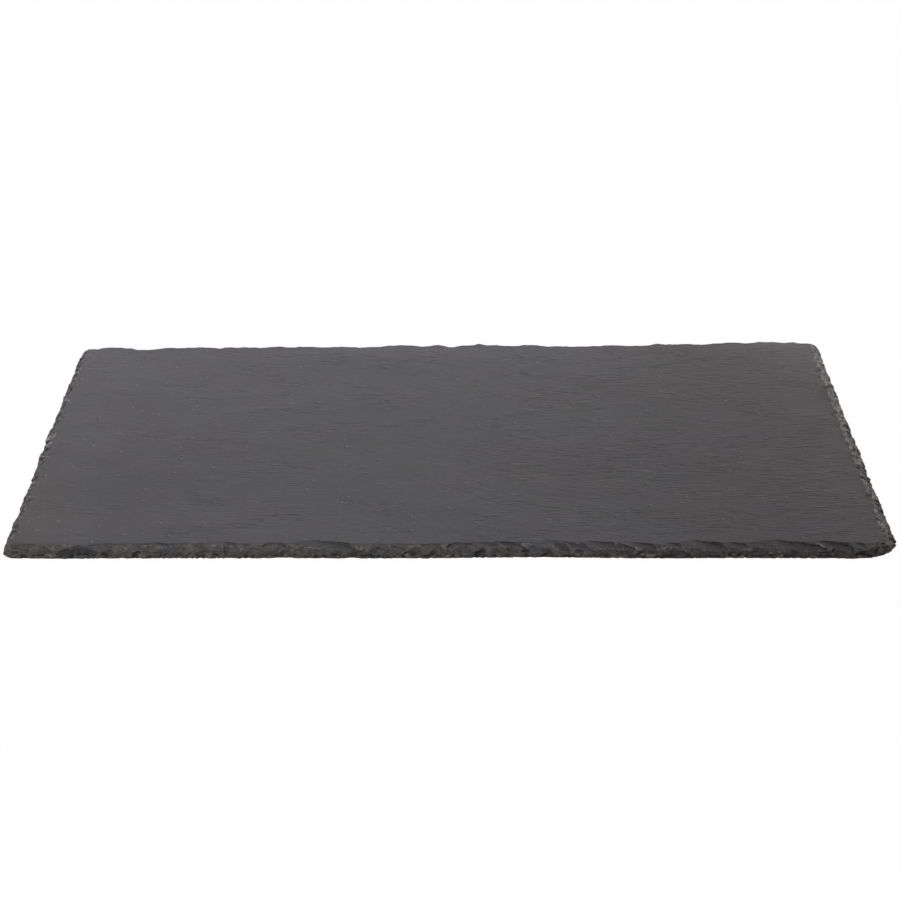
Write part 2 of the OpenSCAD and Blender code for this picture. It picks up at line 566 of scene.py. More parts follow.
@dataclass(frozen=True)
class SlateFinish:
    """Riven dark grey slate: a slow change of tint, clusters of short streaks, pimples, and broken edges.

    Attributes:
        level: Albedo of the riven face.
        broken_level: Albedo of the broken edges.
        pale_level: Albedo of fresh chips and bruised grains.
        roughness: Roughness of the riven face.
        broken_rise: How much rougher the broken edges are.
        specular: Strength of the reflections.
        lay: Direction of the streaks, in radians clockwise from the long side.
        streak: Length of the dark streaks' grain along each axis, in millimetres, partly painted shade.
        sheen: The same for the light streaks, which are partly painted highlight.
        tints: Tints of the riven face at the left, in the middle and at the right.
        stained: Tint of the stain.
        cold: Tint of the hollows in broken stone.
        warm: Tint of the rest of it.
        bruised: Tint of its pale ridges.
        crumbled: Tint of the pale grains low down.
        border: How much paler the riven face is along its border; along the back it is painted sheen.
    """

    level: float = 0.074
    broken_level: float = 0.119
    pale_level: float = 0.28
    roughness: float = 0.75
    broken_rise: float = 0.14
    specular: float = 0.22
    lay: float = 0.1
    streak: Triple = (6.2, 1.05, 3.0)
    sheen: Triple = (7.4, 1.05, 3.1)
    tints: tuple[Triple, ...] = ((0.985, 0.924, 1.031), (1.005, 0.975, 1.074), (0.916, 0.826, 0.87))
    stained: Triple = (1.07, 0.965, 0.965)
    cold: Triple = (0.93, 0.965, 1.105)
    warm: Triple = (1.06, 0.972, 0.962)
    bruised: Triple = (1.045, 0.985, 0.95)
    crumbled: Triple = (1.04, 1.0, 0.87)
    border: float = 0.13

    def material(self) -> bpy.types.Material:
        """Builds the stone: one riven look and one broken look, mixed by the mesh's own values.

        Returns:
            The material.
        """
        g = MaterialGraph("riven_slate")
        grain = g.noise(g.place, (0.7, 0.7, 0.7))
        ragged = g.noise(g.place, (5, 5, 3), detail=4.0, rough=0.6)
        share = (g.value("broken") * g.sway((ragged, 3.6), (grain, 0.9))).between(0.3, 0.6)
        riven, rise = self._riven(g, grain)
        broken, crumbs = self._broken(g, grain)
        normal = g.raised(rise * (1.0 - share), 0.1)
        normal = g.raised(grain, 0.05, normal)
        normal = g.raised(crumbs * share, 0.3, normal)
        roughness = share * self.broken_rise + self.roughness + grain * 0.1
        return g.finish(g.mix(share, riven, broken), roughness, self.specular, normal)

    def _tint(self, g: MaterialGraph, laid: Field) -> Field:
        """Colour of the riven face: violet on the left, bluer in the middle, brownish on the right.

        Args:
            g: The graph.
            laid: Coordinates along the streaks.

        Returns:
            The colour, with small patches of a slightly greener or redder tint, a paler border at
            the back, both ends and the left half of the front, palest at the back right corner,
            which along the back is painted sheen, and a warm stain at the front left corner.
        """
        rightward, away = g.plan
        drift = g.noise(g.place, (70, 50, 50), bend=0.4)
        across = rightward + (drift - 0.5) * 0.18
        violet, blue, brown = (grey(self.level, tint) for tint in self.tints)
        colour = g.mix(across.between(-0.12, -0.04), violet, blue)
        colour = g.mix(across.between(0.01, 0.09), colour, brown)
        patch = g.noise(laid, (18, 13, 20), detail=1.0, bend=0.4)
        haze = g.noise(g.place, (30, 22, 30), bend=0.6)
        green, red = grey(1.0, (0.98, 1.014, 0.995)), grey(1.0, (1.02, 0.986, 1.005))
        straw, sky = grey(1.0, (1.008, 1.003, 0.97)), grey(1.0, (0.992, 0.997, 1.03))
        for noise, first, second in ((patch, green, red), (haze, straw, sky)):
            colour = g.vector("MULTIPLY", colour, g.mix(noise.between(0.35, 0.65), first, second))
        # Painted sheen: the paler band along the back, strongest at the back right corner, stands for grazing
        # reflection; at the ends and the front left the face is simply paler.
        border = abs(rightward).between(0.112, 0.136) + away.between(0.066, 0.09)
        corner = (rightward + away).between(0.185, 0.232)
        front = away.between(-0.04, -0.09) * rightward.between(0.01, -0.04)
        border = border + corner * 4.0 + front
        colour = g.scaled(colour, border * self.border + 1.0)
        stain = (rightward + drift * 0.03).between(-0.112, -0.128) * away.between(0.0, -0.06)
        return g.mix(stain * 0.8, colour, grey(self.level * 1.12, self.stained))

    def _riven(self, g: MaterialGraph, grain: Field) -> tuple[Field, Field]:
        """Colour and relief of the riven face, with painted highlight and shade on its streaks and pimples.

        Args:
            g: The graph.
            grain: Fine noise.

        Returns:
            The colour, and the height in tenths of a millimetre.
        """
        rightward, away = g.plan
        warp = g.noise(g.place, (30, 20, 20))
        laid = g.turned(g.shifted(Y=warp * 0.007), self.lay)
        clouds = g.noise(g.place, (110, 80, 50), detail=3.0, bend=0.4)
        patches = g.noise(laid, (26, 14, 30), detail=3.0, bend=0.6)
        streaks, sheen = (g.noise(laid, lines, detail=1.0) for lines in (self.streak, self.sheen))
        grit = g.noise(g.place, (1.5, 1.5, 2), detail=1.0)
        crowd = g.noise(laid, (24, 12, 30)) + rightward * 0.8
        crowd = crowd.between(0.42, 0.6) * 0.85 + 0.15
        dark, light = (lines.between(0.56, 0.66) * crowd for lines in (streaks, sheen))
        aside = g.shifted(X=0.0008, Y=0.0009)
        # Painted highlight and shadow: each pimple gets a pale spot on its mound and a dark spot just beside
        # it, besides its raised relief.
        mounds_and_highlights, pimple_shadows = (g.spots(spot, 85.0, 0.06, rightward + 0.7) for spot in (g.place, aside))
        scuffs = g.noise(laid, (6, 3, 6)).between(0.68, 0.76)
        factor = g.sway((clouds, 0.24), (patches, 0.3), (streaks, 0.18), (grain, 0.36), (grit, 0.24))
        # The dark and light streaks are partly the stone's own grain and partly painted shade and highlight
        # of its fine ripples, which the relief carries too.
        factor = factor - dark * 0.25 + light * 0.3 + mounds_and_highlights * 1.3 - pimple_shadows * 0.5 + scuffs * (grain * 0.6)
        specks = g.spots(g.place, 110.0, 0.03, 0.87)
        corner = rightward.between(-0.114, -0.142) * away.between(-0.05, -0.09)
        nicks = g.spots(aside, 190.0, 0.09, 0.55) * corner
        colour = g.scaled(self._tint(g, laid), factor)
        colour = g.mix(specks.at_least(nicks), colour, grey(self.pale_level))
        return colour, (light - dark) * 2.0 + patches * 1.5 + mounds_and_highlights * 1.5

    def _broken(self, g: MaterialGraph, grain: Field) -> tuple[Field, Field]:
        """Colour and relief of broken stone: dull grey, bluish in its hollows, pale on its bruised ridges,
        with painted shade in hollows and splits.

        Args:
            g: The graph.
            grain: Fine noise.

        Returns:
            The colour, and the relief.
        """
        rightward, away = g.plan
        ridge, tone, lip, crush = (g.value(name) for name in ("ridge", "tone", "lip", "crush"))
        mottle = g.noise(g.place, (6, 6, 3), detail=4.0, rough=0.55)
        crumb = g.noise(g.place, (1.3, 2.6, 0.8), detail=3.0, rough=0.6)
        clumps = g.noise(g.place, (9, 9, 9), detail=1.0)
        # Painted shade: thin dark lines along the wall stand for the shadowed splits between sheets; the
        # relief also cuts them in as shallow grooves.
        seam_grooves_and_shadows = g.noise(g.shifted(Z=rightward * 0.2), (9, 9, 0.6), detail=1.0).between(0.58, 0.67)
        speckle = (crumb.between(0.38, 0.62) - 0.5) * crush
        shade = g.sway((mottle, 0.5), (crumb, 0.2), (grain, 0.4))
        # Painted shade: ridge darkens the hollows of the broken stone and lightens its ridges as pale
        # bruising, and tone brings the painted shade of the lower wall.
        shade = shade + ridge * 0.18 + tone * 0.32 + speckle * 1.6
        shade = shade - seam_grooves_and_shadows * 0.22 - rightward.between(0.02, 0.1) * 0.28
        warmth = mottle + tone * 0.25 + g.value("warmth")
        cold, warm = (grey(self.broken_level, tint) for tint in (self.cold, self.warm))
        base = g.scaled(g.mix(warmth.between(0.2, 0.45), cold, warm), shade.at_least(0.22))
        bruise = g.noise(g.place, (11, 11, 11)).between(0.46, 0.58) * 0.8 + away * 4.0
        worn = ridge * 0.27 + tone * 0.5 + bruise * crush
        fresh = (worn + (crumb - 0.5) * (crush * 2.6 + 0.8)).between(0.1, 0.9)
        pale = g.scaled(grey(self.pale_level, self.bruised), g.sway((crumb, 2.8), (grain, 1.6)))
        base = g.mix(fresh, base, pale)
        grains = g.noise(g.place, (2, 2, 1.1), detail=1.0)
        # Painted shade: dark specks in the lower rim band stand for the shade in its small hollows.
        base = g.scaled(base, 1.0 - grains.between(0.5, 0.36) * lip * 0.65)
        crumbs = grains.between(0.57, 0.65) * clumps.between(0.42, 0.55) * lip
        base = g.mix(crumbs, base, grey(self.pale_level * 0.85, self.crumbled))
        return base, crumb * (crush * 0.9 + lip * 0.3 + 0.1) - seam_grooves_and_shadows * 0.25


@dataclass(frozen=True)
class RubberFinish:
    """Black moulded rubber with a fine pebbled grain and a little dust.

    Attributes:
        level: Albedo of the rubber.
        roughness: Roughness where it has no dust.
        specular: Strength of the reflections.
        pebbles: Pebbles in a metre.
    """

    level: float = 0.016
    roughness: float = 0.6
    specular: float = 0.35
    pebbles: float = 2600.0

    def material(self) -> bpy.types.Material:
        """Builds the rubber.

        Returns:
            The material.
        """
        g = MaterialGraph("foot_rubber")
        pebbles = g.cells(self.pebbles)
        dust = g.noise(g.place, (3, 3, 1.5), detail=4.0, rough=0.65)
        colour = g.scaled(grey(self.level, (1.0, 1.0, 1.02)), g.sway((dust, 0.7), (pebbles, 0.3)))
        colour = g.mix(dust.between(0.56, 0.75), colour, grey(self.level * 3))
        return g.finish(colour, dust * 0.2 + self.roughness, self.specular, g.raised(pebbles, 0.06))


@dataclass(frozen=True)
class AdhesiveFinish:
    """Pale adhesive tape, a little yellowed, with fine open cells at its cut edge.

    Attributes:
        level: Albedo of the tape.
        roughness: Its roughness.
        specular: Strength of the reflections.
        cells: Cells in a metre.
    """

    level: float = 0.62
    roughness: float = 0.6
    specular: float = 0.5
    cells: float = 9000.0

    def material(self) -> bpy.types.Material:
        """Builds the tape.

        Returns:
            The material.
        """
        g = MaterialGraph("foot_adhesive")
        cells = g.cells(self.cells)
        stain = g.noise(g.place, (4, 4, 4), detail=3.0)
        colour = g.mix(stain, grey(self.level, (1.0, 0.99, 0.94)), grey(self.level, (1.0, 0.95, 0.82)))
        colour = g.scaled(colour, g.sway((cells, 0.3), (stain, 0.2)))
        return g.finish(colour, self.roughness, self.specular, g.raised(cells, 0.02))


# The slab


@dataclass(frozen=True)
class Wave:
    """A slow hollow in the line of an edge, or a bump where its depth is negative.

    Attributes:
        place: Its middle, as a share of the edge.
        width: Its width, as a share of the edge.
        depth: Its depth inwards, as a share of the wave depth.
    """

    place: float
    width: float
    depth: float


@dataclass(frozen=True)
class Flake:
    """A flake split off the arris: an upright riser over a flat floor that dips along the edge.

    Attributes:
        start: Where its floor leaves the riven face, in millimetres from the middle of the edge.
        end: Where its riser comes out at the arris, on either side of the start.
        reach: How far inside the arris it starts, in millimetres.
        drop: How deep its floor lies where it ends, in millimetres.
        dip: Slope of its floor towards the outside.
    """

    start: float
    end: float
    reach: float
    drop: float
    dip: float = 0.18


@dataclass(frozen=True)
class Hollow:
    """A shell-shaped chip in the wall.

    Attributes:
        middle: Distance of its middle from the middle of the edge, in millimetres.
        reach: Half its length, in millimetres.
        height: Height of its middle, as a share of the thickness.
        spread: Half its height, as a share of the thickness.
        depth: Its depth in millimetres.
        tone: How fresh its face looks, below 0 for dark and above 0 for pale.
        tilt: How much higher it lies at its far end than in its middle, as a share of the thickness.
    """

    middle: float
    reach: float
    height: float
    spread: float
    depth: float
    tone: float = 0.0
    tilt: float = 0.0


@dataclass(frozen=True)
class ChipRow:
    """A row of chips scattered along an edge. Each pair is the least and the most of a size.

    Attributes:
        pitch: Distance between chips, in millimetres.
        reach: Half their length, in millimetres.
        height: Height of their middles, as shares of the thickness.
        spread: Half their height, as shares of the thickness.
        depth: Their depth in millimetres.
        tone: How fresh they look.
        tilt: How much higher they lie at their far end.
    """

    pitch: float
    reach: tuple[float, float]
    height: tuple[float, float]
    spread: tuple[float, float]
    depth: tuple[float, float]
    tone: tuple[float, float]
    tilt: tuple[float, float] = (-0.2, 0.3)

    def scatter(self, length: float, dice: np.random.Generator) -> list[Hollow]:
        """Lays the chips along an edge.

        Args:
            length: Length of the edge, in millimetres.
            dice: The source of chance.

        Returns:
            The chips, one near each step of the pitch.
        """
        count = round(length / self.pitch)
        middles = (np.arange(count) + 0.5 + dice.uniform(-0.45, 0.45, count)) * length / count - length / 2
        pairs = (self.reach, self.height, self.spread, self.depth, self.tone, self.tilt)
        return [Hollow(*row) for row in zip(middles, *(dice.uniform(*pair, count) for pair in pairs))]


@dataclass(frozen=True)
class Edge:
    """How one edge of the slab is dressed.

    Attributes:
        stations: Points along the edge.
        section: Pairs of height, as a share of the thickness, and inset of the plain wall in millimetres.
        base: Inset of its mean line, as a share of the wave depth.
        tone: How pale its broken stone is, below 0 for dark.
        jag: How far its small bumps stand in and out, in millimetres.
        crush: How speckled with crushed grains it is.
        warmth: How much browner its broken stone is, below 0 for bluer.
        waves: Its slow waves.
        rows: Its rows of chips.
        flakes: The flakes split off its arris.
        hollows: Single chips that stand out.
        loose_flakes: How many small flakes are scattered besides.
        onward: Share of the scattered flakes that end further along the edge than they start.
    """

    stations: int
    section: tuple[tuple[float, float], ...]
    base: float
    tone: float
    jag: float
    crush: float
    warmth: float
    waves: tuple[Wave, ...]
    rows: tuple[ChipRow, ...]
    flakes: tuple[Flake, ...] = ()
    hollows: tuple[Hollow, ...] = ()
    loose_flakes: int = 0
    onward: float = 0.5


EDGES = (
    Edge(
        stations=900,
        section=((0.0, 0.25), (0.1, 0.0), (0.4, 0.1), (0.64, 0.36), (0.8, 0.95), (0.92, 1.7), (1.0, 2.6)),
        base=0.0,
        tone=0.06,
        jag=0.08,
        crush=0.1,
        warmth=0.05,
        waves=(Wave(0.28, 0.09, 0.2), Wave(0.6, 0.1, 0.45), Wave(0.83, 0.08, 0.15)),
        rows=(
            ChipRow(9.0, (4.0, 8.0), (0.6, 1.0), (0.4, 0.65), (0.4, 1.0), (-0.3, 0.4), (-0.1, 0.35)),
            ChipRow(8.0, (1.8, 4.2), (0.3, 0.75), (0.22, 0.45), (0.3, 0.8), (-0.6, 0.4), (-0.1, 0.4)),
            ChipRow(2.2, (0.5, 1.2), (0.0, 0.22), (0.1, 0.2), (0.2, 0.55), (-1.0, 0.9)),
        ),
        flakes=(
            Flake(-99.5, -93, 1.0, 0.5), Flake(-76.5, -70.5, 1.4, 0.5), Flake(-57, -63, 1.0, 0.6),
            Flake(-49.5, -42.5, 1.5, 0.6), Flake(-46.5, -31.5, 3.0, 0.9), Flake(-1, 9, 1.0, 0.5),
            Flake(9.5, 17.5, 1.0, 0.6), Flake(32, 47, 2.0, 0.8), Flake(34.5, 40, 1.6, 1.5, 0.3),
            Flake(46, 61.5, 2.0, 1.0), Flake(60, 69, 1.7, 0.7), Flake(73, 77.8, 1.6, 0.6),
            Flake(81, 93, 3.4, 0.9), Flake(92.5, 100, 1.3, 0.7), Flake(98.5, 107, 0.9, 0.4),
            Flake(108, 118.5, 3.4, 0.7), Flake(110, 126, 2.4, 1.3), Flake(123, 135, 2.8, 1.2),
            Flake(134.5, 139, 1.0, 0.5),
        ),
        hollows=(
            Hollow(-143, 6.0, 0.75, 0.5, 0.35, 0.9, 0.1), Hollow(-124, 8.0, 0.5, 0.46, 1.9, -1.0, -0.05),
            Hollow(-114.6, 3.0, 0.4, 0.42, 1.2, -0.7, 0.1), Hollow(-104.6, 1.9, 0.35, 0.36, 1.1, -1.0, 0.2),
            Hollow(-55, 4.6, 0.38, 0.42, 1.0, -0.2, 0.3),
            Hollow(-31, 4.6, 0.38, 0.42, 1.1, 0.1, 0.3), Hollow(-25.5, 3.2, 0.6, 0.28, 0.8, -0.4, 0.35),
            Hollow(-13, 5.2, 0.45, 0.38, 1.0, -0.1, 0.35), Hollow(-5, 2.3, 0.62, 0.33, 0.8, -0.5, 0.4),
            Hollow(10, 2.4, 0.42, 0.38, 1.1, -0.9, 0.25), Hollow(25.3, 2.4, 0.5, 0.3, 1.2, -1.0, 0.0),
            Hollow(32.4, 2.5, 0.3, 0.33, 0.9, -0.7, 0.2), Hollow(63.8, 2.4, 0.36, 0.38, 1.0, -0.8, 0.2),
            Hollow(126.6, 4.2, 0.3, 0.34, 1.2, -1.0, -0.1), Hollow(137, 2.4, 0.34, 0.3, 0.9, -0.9, 0.1),
            Hollow(142.5, 1.6, 0.5, 0.3, 0.9, -1.0, 0.0),
        ),
        loose_flakes=6,
        onward=0.85,
    ),
    Edge(
        stations=480,
        section=(
            (0.0, 0.3), (0.12, 0.0), (0.35, 0.15), (0.5, 0.6),
            (0.7, 1.6), (0.88, 2.8), (0.97, 4.0), (1.0, 5.8),
        ),
        base=-0.1,
        tone=1.05,
        jag=0.3,
        crush=1.0,
        warmth=0.2,
        waves=(Wave(0.3, 0.12, 0.1), Wave(0.62, 0.1, 0.1), Wave(0.86, 0.05, 0.15)),
        rows=(
            ChipRow(5.6, (2.4, 4.4), (0.7, 1.0), (0.3, 0.5), (0.5, 1.3), (-0.2, 1.0)),
            ChipRow(3.0, (0.8, 1.6), (0.2, 0.7), (0.12, 0.3), (0.3, 0.9), (-1.6, 0.4)),
            ChipRow(2.0, (0.4, 0.9), (0.05, 0.4), (0.1, 0.2), (0.2, 0.6), (-1.6, 0.6)),
        ),
        hollows=(
            Hollow(-92, 2.0, 0.6, 0.4, 1.0, -2.4), Hollow(-87, 3.0, 0.9, 0.6, 0.4, 1.4),
            Hollow(-69, 7.5, 1.0, 0.75, 0.5, 1.6), Hollow(-60, 1.8, 0.85, 0.4, 1.1, -2.4),
            Hollow(-46, 3.0, 0.95, 0.6, 0.4, 1.4), Hollow(-41, 1.6, 0.7, 0.4, 1.1, -2.6),
            Hollow(-28, 3.0, 0.95, 0.5, 0.4, 1.0), Hollow(-15, 2.0, 0.9, 0.4, 0.3, 1.0),
            Hollow(2.5, 1.8, 0.6, 0.4, 1.4, -3.0), Hollow(32, 8.0, 0.95, 0.7, 0.4, 1.6),
            Hollow(58, 3.0, 1.0, 0.6, 0.4, 1.4), Hollow(78, 5.0, 0.95, 0.6, 0.4, 1.6),
        ),
    ),
    Edge(
        stations=600,
        section=((0.0, 0.25), (0.12, 0.0), (0.4, 0.25), (0.65, 0.75), (0.82, 1.4), (1.0, 2.6)),
        base=0.72,
        tone=-0.1,
        jag=0.5,
        crush=0.1,
        warmth=0.1,
        waves=(
            Wave(0.06, 0.035, -0.95), Wave(0.12, 0.02, -0.6), Wave(0.2, 0.06, -0.25), Wave(0.33, 0.06, 0.75),
            Wave(0.46, 0.006, -0.9), Wave(0.497, 0.006, 0.6), Wave(0.517, 0.006, -0.9),
            Wave(0.567, 0.02, -0.6), Wave(0.615, 0.02, 0.5), Wave(0.735, 0.01, -0.6),
            Wave(0.84, 0.013, -0.8), Wave(0.91, 0.02, 0.5), Wave(0.96, 0.015, -0.8),
        ),
        rows=(
            ChipRow(6.0, (3.0, 6.0), (0.55, 1.0), (0.45, 0.8), (0.3, 0.9), (-0.4, 0.3)),
            ChipRow(2.5, (0.8, 2.2), (0.05, 0.6), (0.15, 0.35), (0.3, 0.8), (-0.8, 0.4)),
        ),
        loose_flakes=16,
    ),
    Edge(
        stations=480,
        section=((0.0, 0.3), (0.12, 0.0), (0.4, 0.2), (0.6, 0.7), (0.8, 1.5), (0.95, 2.6), (1.0, 4.2)),
        base=0.2,
        tone=-0.75,
        jag=0.35,
        crush=0.55,
        warmth=0.4,
        waves=(Wave(0.15, 0.08, 0.1), Wave(0.48, 0.02, -0.2), Wave(0.75, 0.12, 0.15)),
        rows=(
            ChipRow(5.2, (2.0, 3.6), (0.6, 1.0), (0.3, 0.6), (0.3, 0.8), (-0.8, 0.4)),
            ChipRow(2.8, (0.8, 1.6), (0.1, 0.6), (0.15, 0.35), (0.3, 0.8), (-1.4, 0.5)),
        ),
        hollows=(
            Hollow(-2, 3.6, 0.95, 0.5, 1.4, 1.8), Hollow(7, 2.4, 0.8, 0.4, 1.0, 1.4),
            Hollow(-36, 2.0, 0.9, 0.4, 1.0, 2.0),
        ),
    ),
)


@dataclass(frozen=True)
class Stations:
    """The points round the slab at which its wall is worked out, from the front left corner on.

    Attributes:
        edge: Number of the edge that each point lies on.
        share: How far along that edge it lies, from 0 to 1.
    """

    edge: Array
    share: Array

    @classmethod
    def of(cls, counts: tuple[int, ...]) -> "Stations":
        """Spreads a count of points evenly along each edge.

        Args:
            counts: The count for each edge, from the front on.

        Returns:
            The stations.
        """
        edge = np.repeat(np.arange(len(counts)), counts)
        share = np.concatenate([np.arange(count) / count for count in counts])
        return cls(edge, share)


@dataclass(frozen=True)
class Outline:
    """The four sided line of the slab with its corners cut round.

    Attributes:
        length: Length of the slab.
        depth: Depth of the slab at its right-hand end.
        slant: How much shallower the left-hand end is.
        insets: How far the line lies inside each nominal edge.
    """

    length: float
    depth: float
    slant: float
    insets: tuple[float, float, float, float] = (0.0, 0.0, 0.0, 0.0)

    def corners(self) -> Array:
        """The four corners, anticlockwise from the front left one.

        Returns:
            One row for each corner.
        """
        front, right, back, left = self.insets
        x_low, x_high = -self.length / 2 + left, self.length / 2 - right
        y_low, y_high = -self.depth / 2 + front, self.depth / 2 - back
        return np.array([(x_low, y_low), (x_high, y_low), (x_high, y_high), (x_low, y_high - self.slant)])

    def points(self, at: Stations, cuts: Array) -> Array:
        """Points of the line.

        A point runs along its edge, and within a cut's length of a corner it is pulled towards
        the inside by a quarter of the square of its share of the cut, along both edges of the
        corner, so that the corner becomes a parabola.

        Args:
            at: Where the points lie.
            cuts: For each corner, the cut's length on the edge that ends there and on the edge
                that starts there. A leading axis may give one set of cuts for each line.

        Returns:
            One point for each station, with the leading axis of the cuts.
        """
        corners = self.corners()
        following = np.roll(corners, -1, 0)
        length = np.linalg.norm(following - corners, axis=1)
        along = (following - corners) / length[:, None]
        edge, after = at.edge, (at.edge + 1) % 4
        run = at.share * length[edge]
        rest = length[edge] - run
        ends, starts = cuts[..., 0], cuts[..., 1]
        pull_start = self._pull(run, starts[..., edge])[..., None]
        pull_end = self._pull(rest, ends[..., after])[..., None]
        start_move = starts[..., edge, None] * along[edge] - ends[..., edge, None] * along[(edge + 3) % 4]
        end_move = starts[..., after, None] * along[after] - ends[..., after, None] * along[edge]
        return corners[edge] + run[:, None] * along[edge] + pull_start * start_move + pull_end * end_move

    @staticmethod
    def _pull(run: Array, cut: Array) -> Array:
        """A quarter at a corner, falling as a square to nothing at the end of the cut."""
        return np.where(run < cut, (1 - run / cut) ** 2 / 4, 0)


@dataclass
class SlateSlab(Dressed):
    """The riven slate slab with its four dressed edges.

    Attributes:
        node: The node that it stands for.
        length: Nominal length.
        depth: Nominal depth at the right-hand end.
        slant: How much shallower the left-hand end is.
        wave_depth: Depth of the slow waves of the edges.
        corner_round: Size of an ordinary rounded corner.
        front_corners: Sizes of the two front corners, each on the edge that ends there and on the next.
        knocked: How much longer the blow made the lower front right corner, along the front and the right.
        margin: Width of the border in which the fine wall meets the wider grid of a face.
        levels: Heights at which the section of the wall is worked out.
        rings: Rings of points that the wall is then drawn with.
        sheets: How many sheets of stone show in the wall.
        columns: Cells along the upper face.
        rows: Cells across the upper face.
        coarse: How many cells of the upper face make one of the lower, along and across.
        crease: Its faces that meet at more than this angle, in degrees, keep a sharp edge.
        chip_seed: Seed of the scattered chips.
        flake_seed: Seed of the scattered flakes.
        run_out: How far a flake's riser moves out where it comes to its end, in millimetres.
        wander: How the sheets rise and fall.
        sheet_lines: The line of each sheet.
        bumps: The small bumps of the outline.
        broad: The large broken facets.
        facets: The small ones.
        crumbs: The fine grains of broken stone.
        lumps: The coarse grains low down.
        lips: The ragged lower rim.
        swell: The slow swell of the upper face.
        ripple: Its ripples.
        stair: Where it steps from one sheet to the next.
        under_swell: The swell of the lower face.
        lean: How far the ripples and steps turn with the way to the right.
        foot_seat: Distances from a foot's middle at which the lower face is plain and fully riven.
    """

    node: str = "slate_slab"
    slot: Slot = Slot.SLATE
    length: float = 300 * MM
    depth: float = 200 * MM
    slant: float = 6.5 * MM
    wave_depth: float = 2 * MM
    corner_round: float = 8 * MM
    front_corners: tuple[tuple[float, float], tuple[float, float]] = ((8 * MM, 5 * MM), (10 * MM, 7 * MM))
    knocked: tuple[float, float] = (5 * MM, 8 * MM)
    margin: float = 12 * MM
    levels: int = 90
    rings: int = 26
    sheets: int = 10
    columns: int = 150
    rows: int = 120
    coarse: tuple[int, int] = (2, 4)
    crease: float = 38.0
    chip_seed: int = 41
    flake_seed: int = 7
    run_out: float = 1.2
    wander: StoneNoise = StoneNoise(3, (14, 14))
    sheet_lines: StoneNoise = StoneNoise(8, (3.2, 3.2))
    bumps: StoneNoise = StoneNoise(71, (4.5, 4.5))
    broad: StoneNoise = StoneNoise(61, (7.5, 7.5, 2.6))
    facets: StoneNoise = StoneNoise(47, (2.6, 2.6, 1.3))
    crumbs: StoneNoise = StoneNoise(13, (0.9, 0.9, 0.7), 2)
    lumps: StoneNoise = StoneNoise(53, (2.1, 2.1, 1.1), 2)
    lips: StoneNoise = StoneNoise(17, (3, 3))
    swell: StoneNoise = StoneNoise(19, (70, 50), 2)
    ripple: StoneNoise = StoneNoise(23, (18, 6), 2)
    stair: StoneNoise = StoneNoise(29, (75, 22))
    under_swell: StoneNoise = StoneNoise(31, (40, 18))
    lean: float = 0.14
    foot_seat: tuple[float, float] = (12 * MM, 24 * MM)
    at: Stations = field(init=False)
    around: Array = field(init=False)
    lengths: Array = field(init=False)
    starts: Array = field(init=False)
    low: Array = field(init=False)
    high: Array = field(init=False)
    raw_low: Array = field(init=False)
    raw_high: Array = field(init=False)

    def __post_init__(self) -> None:
        """Reads the slab's box from the frame and lays out the stations."""
        low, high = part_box(self.node)
        self.low, self.high = np.array(low), np.array(high)
        self.at = Stations.of(tuple(edge.stations for edge in EDGES))
        self.lengths = np.array([self.length, self.depth, self.length, self.depth])
        self.starts = np.concatenate([[0], np.cumsum(self.lengths)])
        self.around = self.starts[self.at.edge] + self.at.share * self.lengths[self.at.edge]

    @property
    def thickness(self) -> float:
        """Thickness of the slab."""
        return float(self.high[2] - self.low[2])

    def per_edge(self, values: Iterable[float]) -> Array:
        """One number for each edge, blended smoothly over the corners.

        Args:
            values: The numbers, from the front on.

        Returns:
            A number for each station: within the corner rounding of a corner it moves to the
            mean of the two edges that meet there.
        """
        own = np.array(list(values))
        before, after = (own + np.roll(own, 1)) / 2, (own + np.roll(own, -1)) / 2
        run = self.at.share * self.lengths[self.at.edge]
        rest = self.lengths[self.at.edge] - run
        reach = self.corner_round * 1.5
        edge = self.at.edge
        start = fall(0, reach, run) * (before - own)[edge]
        end = fall(0, reach, rest) * (after - own)[edge]
        return own[edge] + start + end

    def waves(self) -> Array:
        """Inset of the slow waves: for each edge, bell curves exp(-t^2) added to its mean line.

        The waves fall to nothing at the corners.

        Returns:
            The inset in metres, one for each station.
        """
        share = self.at.share
        total = np.zeros(len(self.around))
        for side, edge in enumerate(EDGES):
            bells = [w.depth * np.exp(-(((share - w.place) / w.width) ** 2)) for w in edge.waves]
            total += np.where(self.at.edge == side, edge.base + sum(bells), 0)
        from_corner = np.minimum(share, 1 - share) * self.lengths[self.at.edge]
        return self.wave_depth * total * np.clip(from_corner / self.corner_round, 0, 1)

    def offset(self, side: int, middle: float) -> Array:
        """Distance of each station from a place on an edge, in millimetres, the short way round.

        Args:
            side: The edge.
            middle: The place, in millimetres from the middle of the edge.

        Returns:
            The signed distance along the outline.
        """
        total = self.starts[-1]
        place = self.starts[side] + self.lengths[side] / 2 + middle * MM
        return ((self.around - place + total / 2) % total - total / 2) / MM

    def chipped(self, share: Array) -> tuple[Array, Array]:
        """Depth and tone of the shell-shaped chips over the wall.

        Each chip is a bowl: its depth times one minus the squares of the distances from its
        middle, along and up, as shares of its reach and spread. The deepest bowl wins.

        Args:
            share: Heights, as shares of the thickness, one row each.

        Returns:
            The depth in metres and the tone of the winning chip, one column for each station.
        """
        depth = np.zeros((len(share), len(self.around)))
        tone = np.zeros(depth.shape)
        dice = np.random.default_rng(self.chip_seed)
        for side, edge in enumerate(EDGES):
            chips = list(edge.hollows)
            for row in edge.rows:
                chips += row.scatter(self.lengths[side] / MM, dice)
            for chip in chips:
                along = self.offset(side, chip.middle) / chip.reach
                near = np.flatnonzero(np.abs(along) < 1)
                up = (share - chip.height - chip.tilt * along[near]) / chip.spread
                bowl = chip.depth * MM * (1 - along[near] ** 2 - up**2)
                fresh = chip.tone * np.clip(bowl / (0.25 * MM), 0, 1)
                tone[:, near] = np.where(bowl > depth[:, near], fresh, tone[:, near])
                depth[:, near] = np.maximum(depth[:, near], bowl)
        return depth, tone

